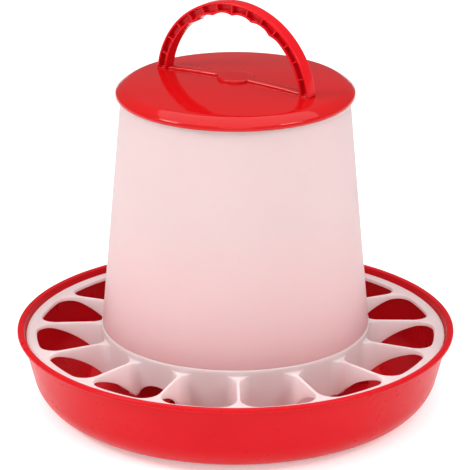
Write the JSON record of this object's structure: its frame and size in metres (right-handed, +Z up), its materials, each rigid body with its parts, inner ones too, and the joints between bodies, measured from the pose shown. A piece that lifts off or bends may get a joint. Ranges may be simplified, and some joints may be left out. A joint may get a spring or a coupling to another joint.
{
  "type": "poultry feeder",
  "caption": "Hanging hopper feeder for poultry: round trough, spoked anti-waste grill, tapered translucent feed tube, domed lid and arched carrying handle.",
  "frame": {"origin": "on the ground, under the middle of the trough", "axes": "+Z up along the feed tube's axis; the handle's arch lies in the plane of X and Z"},
  "size_m": [0.37, 0.37, 0.351],
  "materials": {
    "pan_red": "smooth moulded plastic, satin to gloss",
    "grill_white": "smooth moulded plastic, slightly translucent",
    "hopper_white": "milky translucent plastic with a satin skin",
    "lid_red": "polished moulded plastic",
    "handle_red": "polished moulded plastic"
  },
  "bodies": {
    "pan": {"pan": "pan_red"},
    "tower": {"grill": "grill_white", "hopper": "hopper_white"},
    "lid": {"lid": "lid_red", "handle": "handle_red"}
  },
  "joints": [
    {"name": "base_twist", "type": "hinge", "parent": "pan", "child": "tower", "pos_m": [0, 0, 0.035], "axis": [0, 0, 1], "range_deg": [0, 12]},
    {"name": "lid_lift", "type": "slide", "parent": "tower", "child": "lid", "axis": [0, 0, 1], "range_m": [0, 0.12]}
  ]
}
